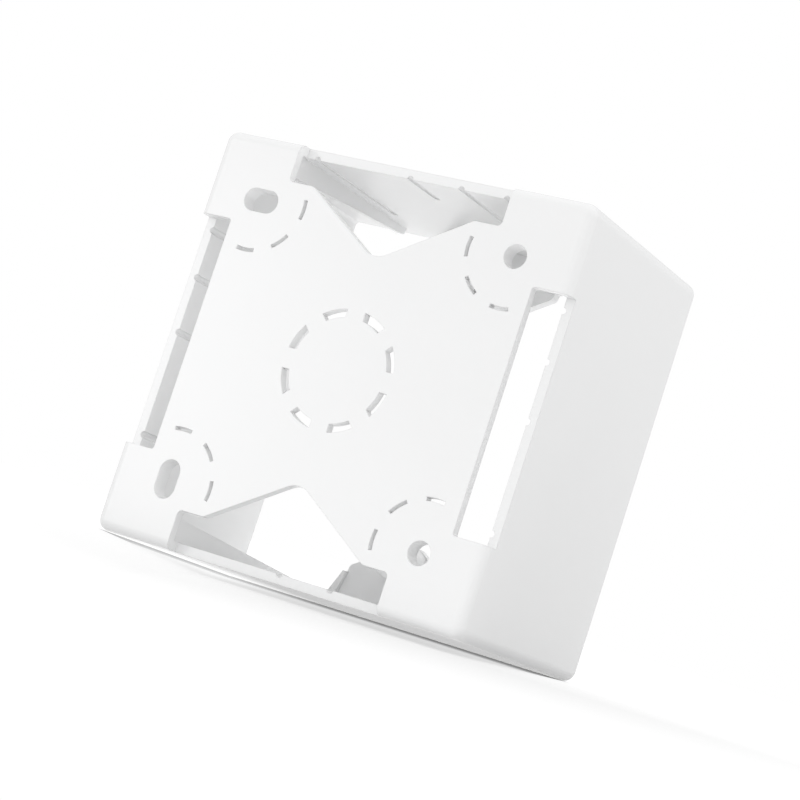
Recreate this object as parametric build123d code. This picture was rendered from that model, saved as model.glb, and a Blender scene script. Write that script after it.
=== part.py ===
from build123d import *
import math
import os

# Single gang back box, one plastic moulding.
# It stands on a side wall: rear plate towards -Y, open front towards +Y, +Z up.
# Sketches below are drawn about the middle of the rear plate, then moved once at the end.

os.makedirs("parts", exist_ok=True)

# Box shell
width = 87.0
height = 87.0
depth = 56.0
wall = 2.0
plate = 2.0
corner_radius = 2.4
rear_fillet = 1.9
rim_fillet = 0.15
root_fillet = 0.6

half_w = width / 2
half_h = height / 2
inner_x = half_w - wall
inner_z = half_h - wall
inner_radius = corner_radius / 3

# Cable entries along the four edges of the rear plate
entry_length = 50.0
entry_floor = 35.2
entry_depth = 3.6
side_entry = 35.6
entry_corner = 1.0
side_corner = 0.6
vee_half = 19.0
vee_slope = 32.2
vee_apex_radius = 4.5
vee_shoulder_radius = 1.6
beyond = 2.0

half_entry = entry_length / 2
vee_drop = vee_half * math.tan(math.radians(vee_slope))

# Fixing holes to the wall
hole_spacing = 60.0
hole_diameter = 4.9
slot_length = 8.2
pad_margin = 2.0
pad_depth = 2.0
hole_xz = hole_spacing / 2

# Knock-out rings cut as dashes
ring_inner = 10.9
ring_outer = 12.6
ring_bridge = 4.2
small_inner = 10.2
small_outer = 11.0
small_dash = 22.5

# Lugs for the front plate
screw_spacing = 60.3
tapped_core = 2.9
lug_radius = 4.3
lug_slope = 32.0
lug_shoulder = 13.4
lug_base = 15.3
lug_recess = 0.5
lug_thickness = 2.5
boss_length = 10.0
lug_corner = 1.2
lead_in = 0.4
boss_radius = 4.25
flank_top = 14.3
flank_foot = 17.0
flank_z = 35.1
flank_rise = 1.0
screw_z = screw_spacing / 2

# Stiffening ribs beside the top and bottom entries
rib_thickness = 1.4
rib_height = 4.8
rib_tip_height = 1.5
rib_end = 51.8
rib_round = 1.3
rib_inset = 0.9

# Break-out grooves on the inside of the walls
groove_radius = 0.7
groove_outer = 22.4
groove_mid = 12.0
groove_long = 39.0
groove_middle = 27.0
groove_short = 16.0


def prism(face, near, far):
    """Face drawn in X and Z, made solid from depth near to depth far."""
    return extrude(Plane.XZ.offset(-near) * face, amount=near - far)


def ring_dash(radius_in, radius_out, centre_angle, sweep):
    """One curved dash of a knock-out ring, as a face about the origin."""
    a0 = math.radians(centre_angle - sweep / 2)
    a1 = math.radians(centre_angle + sweep / 2)
    am = math.radians(centre_angle)
    p0 = (radius_in * math.cos(a0), radius_in * math.sin(a0))
    p1 = (radius_out * math.cos(a0), radius_out * math.sin(a0))
    pm_out = (radius_out * math.cos(am), radius_out * math.sin(am))
    p2 = (radius_out * math.cos(a1), radius_out * math.sin(a1))
    p3 = (radius_in * math.cos(a1), radius_in * math.sin(a1))
    pm_in = (radius_in * math.cos(am), radius_in * math.sin(am))
    edges = [Line(p0, p1), ThreePointArc(p1, pm_out, p2), Line(p2, p3), ThreePointArc(p3, pm_in, p0)]
    return make_face(edges)


def near_vertex(face, x, z):
    """The corner of a drawn face that lies at x, z."""
    return face.vertices().sort_by_distance((x, z, 0))[0]


def groove(x, z, length):
    """Round groove along the depth at x, z, ending in a ball."""
    body = Cylinder(groove_radius, length + beyond, align=(Align.CENTER, Align.CENTER, Align.MIN))
    body = Pos(x, -beyond, z) * Rot(-90, 0, 0) * body
    return body + Pos(x, length, z) * Sphere(groove_radius)


# Shell: a rounded square block, its rear edges rounded over, hollowed from the front
block = prism(RectangleRounded(width, height, corner_radius), 0, depth)
rear_edges = block.faces().sort_by(Axis.Y)[0].edges()
block = fillet(rear_edges, rear_fillet)
front_edges = block.faces().sort_by(Axis.Y)[-1].edges()
block = fillet(front_edges, rim_fillet)
hollow = prism(RectangleRounded(2 * inner_x, 2 * inner_z, inner_radius), plate, depth + beyond)
hollow = fillet(hollow.faces().sort_by(Axis.Y)[0].edges(), root_fillet)
shell = block - hollow

# Top and bottom entries: a long notch that runs into a rounded vee
upper = [
    (-half_entry, half_h + beyond),
    (-half_entry, entry_floor),
    (-vee_half, entry_floor),
    (0, entry_floor - vee_drop),
    (vee_half, entry_floor),
    (half_entry, entry_floor),
    (half_entry, half_h + beyond),
]
vee = make_face(Polyline(*upper, close=True))
vee = fillet(near_vertex(vee, 0, entry_floor - vee_drop), vee_apex_radius)
vee = fillet(near_vertex(vee, -vee_half, entry_floor), vee_shoulder_radius)
vee = fillet(near_vertex(vee, vee_half, entry_floor), vee_shoulder_radius)
vee = fillet(near_vertex(vee, -half_entry, entry_floor), entry_corner)
vee = fillet(near_vertex(vee, half_entry, entry_floor), entry_corner)
top_entry = prism(vee, -beyond, entry_depth)
shell = shell - top_entry - mirror(top_entry, about=Plane.XY)

# Side entries: straight slots through the plate and the rear edge of the wall
side_width = half_w + beyond - side_entry
side_face = Pos(side_entry + side_width / 2, 0) * Rectangle(side_width, entry_length)
side_face = fillet(near_vertex(side_face, side_entry, half_entry), side_corner)
side_face = fillet(near_vertex(side_face, side_entry, -half_entry), side_corner)
right_entry = prism(side_face, -beyond, entry_depth)
shell = shell - right_entry - mirror(right_entry, about=Plane.YZ)

# Fixing holes: two round on the right, one level slot and one upright slot on the left
pad_width = hole_diameter + 2 * pad_margin
pad_slot = slot_length + 2 * pad_margin
round_pad = Circle(pad_width / 2)
level_pad = SlotOverall(pad_slot, pad_width)
round_hole = Circle(hole_diameter / 2)
level_hole = SlotOverall(slot_length, hole_diameter)
pads = Pos(hole_xz, hole_xz) * round_pad
pads += Pos(hole_xz, -hole_xz) * round_pad
pads += Pos(-hole_xz, hole_xz) * level_pad
pads += Pos(-hole_xz, -hole_xz) * Rot(0, 0, 90) * level_pad
holes = Pos(hole_xz, hole_xz) * round_hole
holes += Pos(hole_xz, -hole_xz) * round_hole
holes += Pos(-hole_xz, hole_xz) * level_hole
holes += Pos(-hole_xz, -hole_xz) * Rot(0, 0, 90) * level_hole
shell = shell + prism(pads, plate / 2, plate + pad_depth)
shell = shell - prism(holes, -beyond, plate + pad_depth + beyond)

# Middle knock-out: a ring bridged by eight straight webs
ring = Circle(ring_outer) - Circle(ring_inner)
for angle in (0, 45, 90, 135):
    ring -= Rot(0, 0, angle) * Rectangle(3 * ring_outer, ring_bridge)
shell = shell - prism(ring, -beyond, plate + beyond)

# Corner knock-outs: three dashes about each fixing hole, on the side of the middle
dashes = ring_dash(small_inner, small_outer, 0, small_dash)
dashes += ring_dash(small_inner, small_outer, 45, small_dash)
dashes += ring_dash(small_inner, small_outer, 90, small_dash)
corner_cut = Pos(-hole_xz, -hole_xz) * dashes
corner_cut += Pos(hole_xz, -hole_xz) * Rot(0, 0, 90) * dashes
corner_cut += Pos(hole_xz, hole_xz) * Rot(0, 0, 180) * dashes
corner_cut += Pos(-hole_xz, hole_xz) * Rot(0, 0, 270) * dashes
shell = shell - prism(corner_cut, -beyond, plate + beyond)

# Break-out grooves: round-bottomed, from the rear edge of each wall, with a round end.
# The bottom wall has only the two inner ones.
grooves = groove(0, inner_z, groove_short)
grooves += groove(groove_mid, inner_z, groove_middle)
grooves += mirror(grooves, about=Plane.XY)
grooves += groove(-groove_outer, inner_z, groove_long)
grooves += groove(groove_outer, inner_z, groove_long)
side_grooves = groove(inner_x, groove_outer, groove_long)
side_grooves += groove(inner_x, groove_mid, groove_middle)
side_grooves += groove(inner_x, 0, groove_short)
side_grooves += groove(inner_x, -groove_outer, groove_long)
side_grooves += mirror(side_grooves, about=Plane.YZ)
shell = shell - grooves - side_grooves

# Lugs: a gabled web off the top and bottom wall, a boss behind the screw hole and a thicker flank at each side
lug_front = depth - lug_recess
lug_rear = lug_front - lug_thickness
apex = screw_z - lug_radius / math.cos(math.radians(lug_slope))
shoulder_z = apex + lug_shoulder * math.tan(math.radians(lug_slope))
gable = [
    (-lug_base, inner_z + wall / 2),
    (-lug_base, inner_z),
    (-lug_shoulder, shoulder_z),
    (0, apex),
    (lug_shoulder, shoulder_z),
    (lug_base, inner_z),
    (lug_base, inner_z + wall / 2),
]
web = make_face(Polyline(*gable, close=True))
web = fillet(near_vertex(web, 0, apex), boss_radius)
web = fillet(near_vertex(web, -lug_shoulder, shoulder_z), lug_corner)
web = fillet(near_vertex(web, lug_shoulder, shoulder_z), lug_corner)
lug = prism(web, lug_rear, lug_front)
flank = [
    (lug_base - wall / 4, inner_z + wall / 2),
    (lug_base - wall / 4, inner_z),
    (lug_shoulder, flank_z),
    (flank_top, flank_z),
    (flank_foot, inner_z),
    (flank_foot, inner_z + wall / 2),
]
flange = prism(make_face(Polyline(*flank, close=True)), lug_rear - flank_rise, lug_front)
lug = lug + flange + mirror(flange, about=Plane.YZ)
lug = lug + prism(Pos(0, screw_z) * Circle(boss_radius), lug_front - boss_length, lug_front)
core = prism(Pos(0, screw_z) * Circle(tapped_core / 2), lug_front - boss_length - beyond, depth)
funnel = Cone(tapped_core / 2, tapped_core / 2 + lead_in, lead_in)
funnel = Pos(0, lug_front - lead_in / 2, screw_z) * Rot(-90, 0, 0) * funnel
lug = lug - core - funnel
shell = shell + lug + mirror(lug, about=Plane.XY)

# Ribs: along the top and bottom wall beside both ends of each entry, tapering to the front
rib_root = inner_z - rib_height
rib_tip = inner_z - rib_tip_height
profile = [
    (plate / 2, inner_z + wall / 2),
    (plate / 2, rib_root),
    (rib_end, rib_tip),
    (rib_end, inner_z + wall / 2),
]
rib_face = make_face(Polyline(*profile, close=True))
rib_face = fillet(near_vertex(rib_face, rib_end, rib_tip), rib_round)
rib_start = half_entry + rib_inset
rib = extrude(Plane.YZ.offset(rib_start) * rib_face, amount=rib_thickness)
ribs = rib + mirror(rib, about=Plane.YZ)
shell = shell + ribs + mirror(ribs, about=Plane.XY)

box_moulding = Pos(0, -depth / 2, half_h) * shell
box_moulding.label = "box_moulding"
export_step(box_moulding, "parts/box_moulding.step")
print("solids", len(box_moulding.solids()), "volume", round(box_moulding.volume, 1))
print("size", box_moulding.bounding_box().size)
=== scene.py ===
# %% [markdown]
# # A white single gang back box
#
# The object is one plastic moulding, seen from behind: a square box with a rear plate that has
# cable entries on all four edges, two round holes, two slots and dashed knock-out rings.
# The solid is already made elsewhere at its real size. This lesson dresses it: it gives the
# plastic its finish, lights it softly and places the camera where the photographer stood.

# %% Load the fixed model
import math
import bpy
from mathutils import Matrix, Vector


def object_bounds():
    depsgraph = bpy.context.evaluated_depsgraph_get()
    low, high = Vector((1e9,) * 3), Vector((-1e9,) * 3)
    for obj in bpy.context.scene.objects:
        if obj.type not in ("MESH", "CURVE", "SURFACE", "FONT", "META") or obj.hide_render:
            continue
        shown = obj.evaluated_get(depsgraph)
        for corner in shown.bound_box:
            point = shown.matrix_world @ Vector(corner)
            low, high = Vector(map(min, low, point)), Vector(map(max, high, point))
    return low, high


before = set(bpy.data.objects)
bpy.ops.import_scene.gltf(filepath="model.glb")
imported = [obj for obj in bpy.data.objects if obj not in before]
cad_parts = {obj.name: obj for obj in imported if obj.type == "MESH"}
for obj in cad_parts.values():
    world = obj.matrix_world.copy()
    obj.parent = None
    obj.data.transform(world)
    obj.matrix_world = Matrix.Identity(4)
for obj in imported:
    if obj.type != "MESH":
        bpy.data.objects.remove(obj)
cad_low, cad_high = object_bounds()
box_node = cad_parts["box_moulding"]
print("model box in metres", [round(c, 4) for c in cad_low], [round(c, 4) for c in cad_high])

# %% [markdown]
# ## Units and the edges that matter
#
# Blender works in metres here and a maker thinks in millimetres, so one small value turns one
# into the other. The box stands on a side wall: its rear plate looks towards -Y and its open
# front towards +Y. Its four upright sides are given names, because the floor and the lamps
# are set against them later.

# %% Real sizes read from the model
mm = 0.001
box_width = cad_high.x - cad_low.x
box_depth = cad_high.y - cad_low.y
box_height = cad_high.z - cad_low.z
left_x, right_x = cad_low.x, cad_high.x
rear_y, front_y = cad_low.y, cad_high.y
box_middle = (cad_low + cad_high) / 2
print("width, depth, height in mm", [round(s / mm, 2) for s in (box_width, box_depth, box_height)])

# %% [markdown]
# ## The plastic
#
# These boxes are moulded in a hard white plastic. The surface looks smooth from a distance, yet
# a real one is never perfectly even: the mould's sanding leaves a very fine satin grain, thick
# places sink by a few hundredths of a millimetre, and the gloss drifts a little from place to
# place. A flat colour would look like paper. An image of plastic would need a flat unwrapping
# of the whole box. So the shader is built from three noises at three scales: fine grain in the
# bump, slow ripples in the bump, and slow drift in gloss and tint.
#
# All of them read Object coordinates, which are metres here. A noise's Scale is how many blobs
# fit in a metre, so a small helper turns a blob's size into it.

# %% A helper that adds a node
def add_node(tree, kind, x, y):
    """A new node of that kind at a readable place in the tree."""
    node = tree.nodes.new(kind)
    node.location = (x, y)
    return node


# %% A helper for noise of a real size
noise_roughness = 0.55


def noise(tree, coordinates, size, detail, x, y):
    """Noise whose blobs are about size metres across."""
    node = add_node(tree, "ShaderNodeTexNoise", x, y)
    node.inputs["Scale"].default_value = 1 / size
    node.inputs["Detail"].default_value = detail
    node.inputs["Roughness"].default_value = noise_roughness
    tree.links.new(coordinates, node.inputs["Vector"])
    return node.outputs["Fac"]


# %% A helper that turns noise into a range
noise_low, noise_high = 0.25, 0.75


def remap(tree, value, low, high, x, y):
    """Turns a noise, which seldom leaves noise_low to noise_high, into a range of low to high."""
    node = add_node(tree, "ShaderNodeMapRange", x, y)
    node.interpolation_type = "SMOOTHSTEP"
    node.inputs["From Min"].default_value = noise_low
    node.inputs["From Max"].default_value = noise_high
    node.inputs["To Min"].default_value = low
    node.inputs["To Max"].default_value = high
    tree.links.new(value, node.inputs["Value"])
    return node.outputs["Result"]


# %% Start the plastic and its three noises
grain_size = 0.28 * mm
ripple_size = 9 * mm
drift_size = 26 * mm
broad_detail, fine_detail = 2, 3
plastic_ior = 1.5
plastic_shine = 0.5

plastic = bpy.data.materials.new("white_moulded_plastic")
plastic.use_nodes = True
tree = plastic.node_tree
shader = tree.nodes["Principled BSDF"]
shader.inputs["IOR"].default_value = plastic_ior
shader.inputs["Specular IOR Level"].default_value = plastic_shine

place = add_node(tree, "ShaderNodeTexCoord", -1300, 0).outputs["Object"]
drift = noise(tree, place, drift_size, broad_detail, -1050, 300)
ripple = noise(tree, place, ripple_size, broad_detail, -1050, 0)
grain = noise(tree, place, grain_size, fine_detail, -1050, -300)
print("noise sizes in mm", [round(s / mm, 2) for s in (grain_size, ripple_size, drift_size)])

# %% [markdown]
# ### Colour and gloss
#
# The drift mixes two whites that only just differ, and moves the roughness with them. A gloss
# of about 0.23 gives the soft sheen of a satin mould: lamps show as a wide glow on the plate and
# never as a sharp spot.

# %% Give the plastic its colour and gloss
plastic_white = (0.935, 0.937, 0.938, 1)
plastic_shade = (0.929, 0.931, 0.932, 1)
gloss_low, gloss_high = 0.22, 0.25

tint = add_node(tree, "ShaderNodeMix", -500, 300)
tint.data_type = "RGBA"
tint.inputs["A"].default_value = plastic_shade
tint.inputs["B"].default_value = plastic_white
tree.links.new(remap(tree, drift, 0, 1, -780, 300), tint.inputs["Factor"])
tree.links.new(tint.outputs["Result"], shader.inputs["Base Color"])
tree.links.new(remap(tree, drift, gloss_low, gloss_high, -780, 60), shader.inputs["Roughness"])
print("roughness from", gloss_low, "to", gloss_high)

# %% [markdown]
# ### Edges and surface
#
# A mould never leaves a knife edge. The solid has its large roundings already, and the Bevel
# node turns the shading of the small edges, of ribs, slots and dashes, as a rounding of 0.2 mm
# would. The two bumps then build on that normal, one after the other.

# %% Soften the edges and add both bumps
edge_radius = 0.2 * mm
edge_samples = 4
ripple_strength, ripple_depth = 0.05, 0.05 * mm
grain_strength, grain_depth = 0.15, 0.012 * mm

soft_edge = add_node(tree, "ShaderNodeBevel", -750, -300)
soft_edge.samples = edge_samples
soft_edge.inputs["Radius"].default_value = edge_radius

slow_bump = add_node(tree, "ShaderNodeBump", -500, -100)
slow_bump.inputs["Strength"].default_value = ripple_strength
slow_bump.inputs["Distance"].default_value = ripple_depth
tree.links.new(soft_edge.outputs["Normal"], slow_bump.inputs["Normal"])
tree.links.new(ripple, slow_bump.inputs["Height"])

fine_bump = add_node(tree, "ShaderNodeBump", -250, -200)
fine_bump.inputs["Strength"].default_value = grain_strength
fine_bump.inputs["Distance"].default_value = grain_depth
tree.links.new(slow_bump.outputs["Normal"], fine_bump.inputs["Normal"])
tree.links.new(grain, fine_bump.inputs["Height"])
tree.links.new(fine_bump.outputs["Normal"], shader.inputs["Normal"])
print("edges shaded as if rounded by", round(edge_radius / mm, 2), "mm")

# %% Put the plastic on the moulding
for slot in box_node.material_slots:
    slot.material = plastic
print("slots dressed in plastic", len(box_node.material_slots))

# %% [markdown]
# ## The camera
#
# The photograph's straight edges give the camera exactly: where it stood, how it was turned
# and how long its lens was. The camera stood to the right of the rear plate and a little below
# the lower edge, and was rolled, so that the box seems to lean. Turning it by three angles would
# hide what is going on. Three directions place it more plainly: right, up and backwards, each
# in the box's own frame. Up follows from the other two.

# %% Place the camera
camera_place = Vector((247.6, -435.25, -10.6)) * mm
camera_right = Vector((0.84258, 0.44071, 0.30958))
camera_back = Vector((0.49194, -0.86373, -0.10933)).normalized()
camera_lens = 109.5
camera_sensor = 36
camera_up = camera_back.cross(camera_right).normalized()
camera_right = camera_up.cross(camera_back)
turned = Matrix((camera_right, camera_up, camera_back)).transposed()

camera_data = bpy.data.cameras.new("camera")
camera_data.lens = camera_lens
camera_data.sensor_width = camera_sensor
camera_data.clip_start = 0.05
camera_data.clip_end = 20
camera = bpy.data.objects.new("camera", camera_data)
camera.matrix_world = Matrix.Translation(camera_place) @ turned.to_4x4()
bpy.context.scene.collection.objects.link(camera)
bpy.context.scene.camera = camera
print("camera looks along", [round(c, 3) for c in -camera_back])

# %% [markdown]
# ## The floor
#
# In the photograph the white floor meets the box along its lower left edge and its lower front
# edge, and the camera looks across it almost level, from a little below the box. A level floor
# would hide the underside that the photograph shows. So the sheet lies level at the left, and
# from those two edges it falls towards the camera by a few degrees, as two pages that meet in
# a shallow fold. Beyond the front edge it rises by as much.
#
# Four flat faces over nine points make the sheet. The fold starts at the lower left front
# corner of the box and ends where both pages have fallen equally far.

# %% The points of the floor
floor_fall = math.tan(math.radians(3))
page_fall = math.tan(math.radians(6))
floor_half = 900 * mm
near_y = front_y - floor_half
far_y = front_y + floor_half
fold_x = left_x + floor_half * floor_fall / page_fall
fall_height = floor_half * floor_fall

floor_points = [
    (left_x, front_y, 0),
    (left_x, near_y, 0),
    (fold_x, near_y, -fall_height),
    (floor_half, near_y, -fall_height),
    (floor_half, front_y, 0),
    (floor_half, far_y, fall_height),
    (-floor_half, far_y, fall_height),
    (-floor_half, front_y, 0),
    (-floor_half, near_y, 0),
]
print("floor falls", round(box_depth * floor_fall / mm, 1), "mm over the depth of the box")

# %% Make the floor
falling_face = (0, 2, 3, 4)
page_face = (0, 1, 2)
rising_face = (7, 0, 4, 5, 6)
level_face = (7, 8, 1, 0)
floor_faces = [falling_face, page_face, rising_face, level_face]

floor_mesh = bpy.data.meshes.new("floor_sheet")
floor_mesh.from_pydata(floor_points, [], floor_faces)
floor = bpy.data.objects.new("floor_sheet", floor_mesh)
bpy.context.scene.collection.objects.link(floor)
print("floor faces", len(floor_faces))

# %% [markdown]
# ## The floor's white card
#
# Three kinds of ray meet the card, and the Light Path node tells them apart:
#
# - Light that bounces off it on its way to the box finds plain white card, duller where the
#   box stands in the way.
# - Mirror-like rays from the plastic find the white of the background.
# - The camera finds a pale card that is lit like any other, so it keeps the box's shadow, with
#   a glow on top that lifts it to white.
#
# Most of what follows is one idea used again and again: a value that goes from one amount to
# another as a place on the floor passes an edge of the box. Two helpers do that.

# %% Helpers for values that change across the floor
def past(tree, value, start, blend, x, y):
    """Goes from 0 to 1 as value goes from start to start + blend."""
    node = add_node(tree, "ShaderNodeMapRange", x, y)
    node.inputs["From Min"].default_value = start
    node.inputs["From Max"].default_value = start + blend
    tree.links.new(value, node.inputs["Value"])
    return node.outputs["Result"]


def between(tree, low, high, factor, x, y):
    """A value that goes from low to high as factor goes from 0 to 1."""
    node = add_node(tree, "ShaderNodeMapRange", x, y)
    for name, end in (("To Min", low), ("To Max", high)):
        if isinstance(end, bpy.types.NodeSocket):
            tree.links.new(end, node.inputs[name])
        else:
            node.inputs[name].default_value = end
    tree.links.new(factor, node.inputs["Value"])
    return node.outputs["Result"]


# %% Start the card: the kind of ray and the place on the floor
card = bpy.data.materials.new("floor_card")
card.use_nodes = True
tree = card.node_tree
tree.nodes.remove(tree.nodes["Principled BSDF"])

path = add_node(tree, "ShaderNodeLightPath", -1300, 400)
camera_ray = path.outputs["Is Camera Ray"]
glossy_ray = path.outputs["Is Glossy Ray"]
spot = add_node(tree, "ShaderNodeTexCoord", -2100, 500).outputs["Object"]
parts = add_node(tree, "ShaderNodeSeparateXYZ", -1900, 500)
tree.links.new(spot, parts.inputs["Vector"])
spot_x = parts.outputs["X"]
spot_y = parts.outputs["Y"]
print("card made for", floor.name)

# %% [markdown]
# ### What the card gives back
#
# The right wall of the box is darker towards the floor, because the floor beside it gets less
# light and so gives back less. Beside that wall the card's white is cut to about half, a painted
# shade that stands in for the floor's shadow there, and it recovers 110 mm further out, nearer to
# the camera, and beyond the front edge.

# %% The card's colour
card_bounce = 0.86
painted_shade_share = 0.55
card_seen = 0.34
card_mirrored = 0.15
side_reach = 110 * mm
edge_blend = 20 * mm

# Painted shade: beside the right wall the card's colour, as bounced light finds it, is cut to
# about half.
away = past(tree, spot_x, right_x, side_reach, -1700, 400)
ahead = past(tree, spot_y, rear_y - edge_blend, edge_blend, -1700, 700)
in_front = past(tree, spot_y, front_y, edge_blend, -1700, 900)
bounce = between(tree, card_bounce * painted_shade_share, card_bounce, away, -1450, 400)
bounce = between(tree, card_bounce, bounce, ahead, -1300, 500)
bounce = between(tree, bounce, card_bounce, in_front, -1150, 600)
tone = between(tree, bounce, card_mirrored, glossy_ray, -900, 300)
tone = between(tree, tone, card_seen, camera_ray, -650, 300)
matte = add_node(tree, "ShaderNodeBsdfDiffuse", -400, 250)
tree.links.new(tone, matte.inputs["Color"])
print("card gives back", card_bounce, "and beside the wall", round(card_bounce * painted_shade_share, 2))

# %% [markdown]
# ### Light under the box
#
# Light creeps into the narrow gap under the box from the left and from the camera's side. In
# the photograph the strip of underside that can be seen is white at its left end and dark at
# its right end. Bounced rays alone are too few in such a gap, so the card under the box gives
# off a little light of its own, much at the left and next to none 30 mm further in. A narrow
# strip before the rear edge, where the lower rounding looks down, gets its own amount. Away from
# the box there is none.

# %% The glow under the box
under_left, under_right, under_foot = 0.85, 0.05, 0.22
under_blend = 30 * mm
foot_blend = 5 * mm
foot_width = 2 * edge_blend

across = past(tree, spot_x, left_x, under_blend, -1700, 0)
behind_foot = past(tree, spot_y, rear_y, foot_blend, -1700, 150)
off_right = past(tree, spot_x, right_x + edge_blend, edge_blend, -1700, 150)
off_left = past(tree, spot_x, left_x - edge_blend, edge_blend, -1700, 200)
at_foot = past(tree, spot_y, rear_y - foot_width, edge_blend, -1700, 250)
under = between(tree, under_left, under_right, across, -1500, 0)
under = between(tree, under_foot, under, behind_foot, -1400, 0)
under = between(tree, under, 0, off_right, -1350, 0)
under = between(tree, 0, under, off_left, -1300, 0)
under = between(tree, 0, under, at_foot, -1200, 0)
under = between(tree, under, 0, in_front, -1100, 0)
print("glow under the box from", under_left, "at the left to", under_right, "at the right")

# %% [markdown]
# ### What the camera sees: the painted touching line
#
# Ambient Occlusion measures how closed in a place is. With a reach of about a millimetre it only
# notices the floor right against the box. The glow dies out there, which draws a painted contact
# shadow: the thin dark line where the box touches the floor.

# %% The glow that the camera sees
base_glow = 0.14
open_glow = 0.58
touch = 1.1 * mm
touch_samples = 8

touching = add_node(tree, "ShaderNodeAmbientOcclusion", -1500, -300)
touching.inputs["Distance"].default_value = touch
touching.samples = touch_samples
full_glow = base_glow + open_glow
# Painted contact shadow: the glow that the camera sees fades where the floor is closed in.
seen = between(tree, base_glow, full_glow, touching.outputs["AO"], -1050, -200)
print("floor glow from", base_glow, "to", round(full_glow, 2))

# %% [markdown]
# ### What the camera sees: the painted soft shade
#
# Around the box the floor's glow is lowered, a painted shade that makes it a little greyer and
# fades out within a hand's width.
# It needs the distance from the box. With the box centred on the origin that is quick to work
# out: drop the height, fold all four quarters onto one, take off half the box's size, and keep
# what is left above zero. The length of that is the distance.

# %% A helper for vector sums
def by_vector(tree, operation, vector, operand, x, y):
    """A vector operation on vector, with a fixed second vector where it takes one."""
    node = add_node(tree, "ShaderNodeVectorMath", x, y)
    node.operation = operation
    tree.links.new(vector, node.inputs[0])
    if operand:
        node.inputs[1].default_value = operand
    return node.outputs["Value" if operation == "LENGTH" else "Vector"]


# %% The distance from the box
half_size = (box_width / 2, box_depth / 2, 0)

outside = by_vector(tree, "MULTIPLY", spot, (1, 1, 0), -2000, -600)
outside = by_vector(tree, "ABSOLUTE", outside, None, -1800, -600)
outside = by_vector(tree, "SUBTRACT", outside, half_size, -1600, -600)
outside = by_vector(tree, "MAXIMUM", outside, (0, 0, 0), -1400, -600)
from_box = by_vector(tree, "LENGTH", outside, None, -1200, -600)
print("half of the box in mm", [round(s / mm, 1) for s in half_size])

# %% [markdown]
# Where the sheet bends away from the camera, at its left and far crests, the painted shade would
# end in a hard line against the white beyond. So it turns into a little extra glow there, and the
# crests can't be told from the background.

# %% The soft shade
shade_depth = 0.16
shade_reach = 130 * mm
crest_glow = 0.05
crest_blend = 80 * mm
left_crest = left_x - edge_blend
far_crest = front_y - 3 * edge_blend

far_off = past(tree, from_box, 0, shade_reach, -1000, -600)
past_left = past(tree, spot_x, left_crest, crest_blend, -1700, 200)
past_far = past(tree, spot_y, far_crest, crest_blend, -1700, 200)
# Painted shade: the glow is lowered next to the box and comes back with distance from it.
shade = between(tree, -shade_depth, 0, far_off, -800, -600)
shade = between(tree, crest_glow, shade, past_left, -700, -600)
shade = between(tree, shade, crest_glow, past_far, -600, -600)
shaded = add_node(tree, "ShaderNodeMath", -800, 0)
shaded.operation = "ADD"
tree.links.new(seen, shaded.inputs[0])
tree.links.new(shade, shaded.inputs[1])
print("shade reaches", round(shade_reach / mm), "mm from the box")

# %% Join the card's colour and glow
mirror_glow = 0.95

lift = between(tree, under, mirror_glow, glossy_ray, -850, -100)
lift = between(tree, lift, shaded.outputs["Value"], camera_ray, -650, -150)
glow = add_node(tree, "ShaderNodeEmission", -400, -150)
tree.links.new(lift, glow.inputs["Strength"])
both = add_node(tree, "ShaderNodeAddShader", -150, 0)
tree.links.new(matte.outputs["BSDF"], both.inputs[0])
tree.links.new(glow.outputs["Emission"], both.inputs[1])
tree.links.new(both.outputs["Shader"], tree.nodes["Material Output"].inputs["Surface"])
floor_mesh.materials.append(card)
print("card nodes", len(tree.nodes))

# %% [markdown]
# ## The sky
#
# White on white only reads if each face gets its own amount of light. The rear plate is the
# brightest, the right wall a step darker and darker still towards the floor, the inside darker
# again. Most of that comes from the sky, a white world that is brighter on the side that the
# rear plate looks to. A dot product of each direction with the brightest one runs from 1 there
# to -1 on the far side, and is turned into a strength. The camera doesn't look at that sky: for
# its rays, and for light through something clear, the world is plain white.

# %% The sky that lights the box
sky_middle = 0.82
sky_swing = 0.20
sky_low, sky_high = sky_middle - sky_swing, sky_middle + sky_swing
bright_side = Vector((-0.10, -0.95, 0.30)).normalized()
plain_white = (1, 1, 1, 1)

world = bpy.data.worlds.new("soft_sky")
bpy.context.scene.world = world
world.use_nodes = True
tree = world.node_tree
sky = tree.nodes["Background"]
sky.inputs["Color"].default_value = plain_white

direction = add_node(tree, "ShaderNodeTexCoord", -1000, 0)
towards = add_node(tree, "ShaderNodeVectorMath", -750, 0)
towards.operation = "DOT_PRODUCT"
towards.inputs[1].default_value = bright_side
tree.links.new(direction.outputs["Generated"], towards.inputs[0])
swing = add_node(tree, "ShaderNodeMapRange", -500, 0)
swing.inputs["From Min"].default_value = -1
swing.inputs["From Max"].default_value = 1
swing.inputs["To Min"].default_value = sky_low
swing.inputs["To Max"].default_value = sky_high
tree.links.new(towards.outputs["Value"], swing.inputs["Value"])
tree.links.new(swing.outputs["Result"], sky.inputs["Strength"])
print("sky from", round(sky_low, 2), "to", round(sky_high, 2))

# %% The white that the camera sees
white = add_node(tree, "ShaderNodeBackground", 0, -200)
white.inputs["Color"].default_value = plain_white
white.inputs["Strength"].default_value = 1

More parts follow.
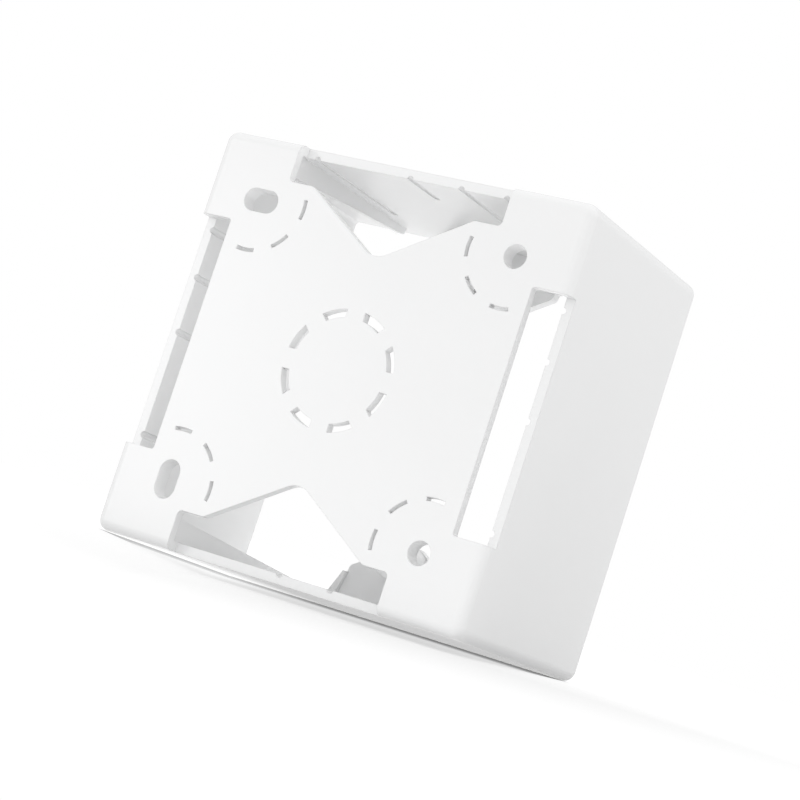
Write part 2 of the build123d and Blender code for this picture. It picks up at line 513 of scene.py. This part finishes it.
path = add_node(tree, "ShaderNodeLightPath", -500, 300)
plain = add_node(tree, "ShaderNodeMath", -250, 300)
plain.operation = "MAXIMUM"
tree.links.new(path.outputs["Is Camera Ray"], plain.inputs[0])
tree.links.new(path.outputs["Is Transmission Ray"], plain.inputs[1])
choose = add_node(tree, "ShaderNodeMixShader", 250, 0)
tree.links.new(plain.outputs["Value"], choose.inputs["Fac"])
tree.links.new(sky.outputs["Background"], choose.inputs[1])
tree.links.new(white.outputs["Background"], choose.inputs[2])
tree.links.new(choose.outputs["Shader"], tree.nodes["World Output"].inputs["Surface"])
print("world nodes", len(tree.nodes))

# %% [markdown]
# ## The lamps
#
# Three lamps finish what the sky begins. The camera sees none of them.
#
# - The key lamp stands low and far off to the left, on the side that the rear plate looks to. It
#   makes the plate fall off slowly from left to right, also by its wide mirror image in the
#   satin plastic.
# - The front lamp is a small soft panel just before the open front, as large as the opening
#   and pushed a little to the left, so that it lights the inside and spares the right wall.
# - The side lamp hangs above the right wall and makes it fall off from top to bottom.
#
# The last two would show as small flashes in the edges of the slots and dashes, so mirror-like
# rays don't see them.

# %% A helper for a soft lamp
def soft_lamp(name, place, target, size, watts):
    """A square lamp of that size in metres, aimed at target and hidden from the camera."""
    data = bpy.data.lights.new(name, "AREA")
    data.shape = "SQUARE"
    data.size = size
    data.energy = watts
    lamp = bpy.data.objects.new(name, data)
    lamp.location = place
    lamp.rotation_euler = (Vector(target) - Vector(place)).to_track_quat("-Z", "Y").to_euler()
    lamp.visible_camera = False
    bpy.context.scene.collection.objects.link(lamp)
    return lamp


# %% Hang the three lamps
key_place = (-0.67, -0.80, 0.14)
front_target = box_middle - Vector((4, 0, 0)) * mm
front_place = box_middle + Vector((-4, 100, 0)) * mm
side_place = (0.22, 0.05, 0.34)
side_target = (0.05, 0, 0.06)

key_lamp = soft_lamp("key_lamp", key_place, box_middle, size=0.26, watts=0.64)
front_lamp = soft_lamp("front_lamp", front_place, front_target, size=0.085, watts=0.029)
side_lamp = soft_lamp("side_lamp", side_place, side_target, size=0.2, watts=0.18)
for lamp in (front_lamp, side_lamp):
    lamp.visible_glossy = False
for lamp in (key_lamp, front_lamp, side_lamp):
    print(lamp.name, "at", [round(c, 2) for c in lamp.location], "watts", lamp.data.energy)

# %% [markdown]
# ## Finish
#
# The view transform stays plain, so white is white.

# %% The end
bpy.context.scene.view_settings.view_transform = "Standard"
